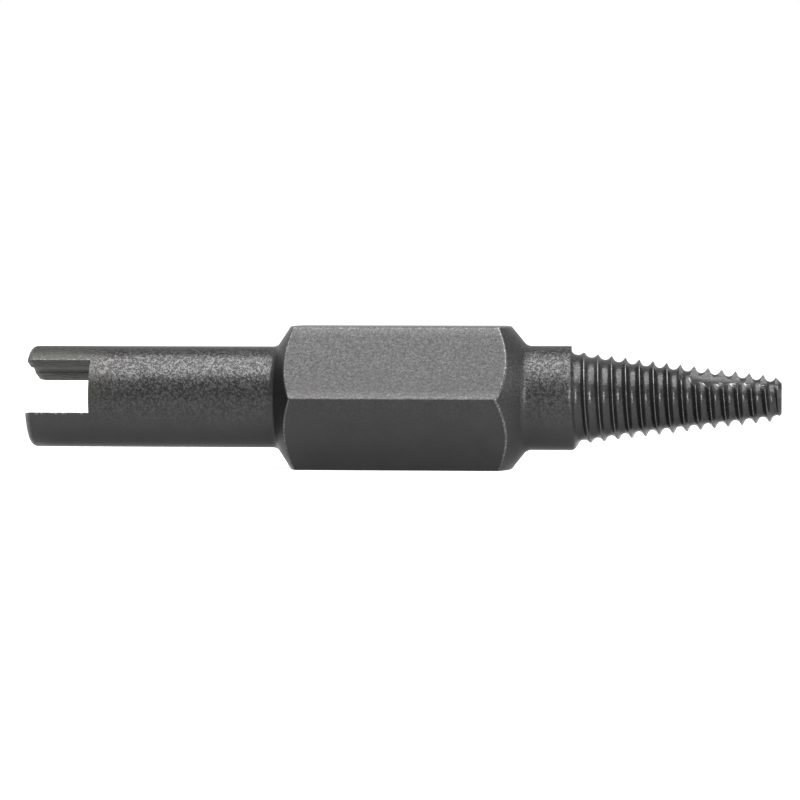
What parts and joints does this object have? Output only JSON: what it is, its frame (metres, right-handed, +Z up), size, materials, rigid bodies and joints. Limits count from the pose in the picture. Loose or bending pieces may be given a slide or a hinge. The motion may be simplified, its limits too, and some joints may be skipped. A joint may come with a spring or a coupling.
{
  "type": "screw extractor",
  "caption": "Double-ended screw extractor bit: a slotted, bored round end, a hexagon for the driver, and a short tapered thread with a flute.",
  "frame": {"origin": "centre of the footprint, at the underside of the hexagon that the bit lies on", "axes": "+Z up, square to the flat it lies on; +X along the bit, towards the threaded tip; +Y across it, away from the camera's side"},
  "size_m": [0.0336, 0.0072, 0.0063],
  "materials": {
    "steel": "satin, black-oxide hardened steel"
  },
  "bodies": {
    "root": {"extractor_bit": "steel"}
  },
  "joints": []
}
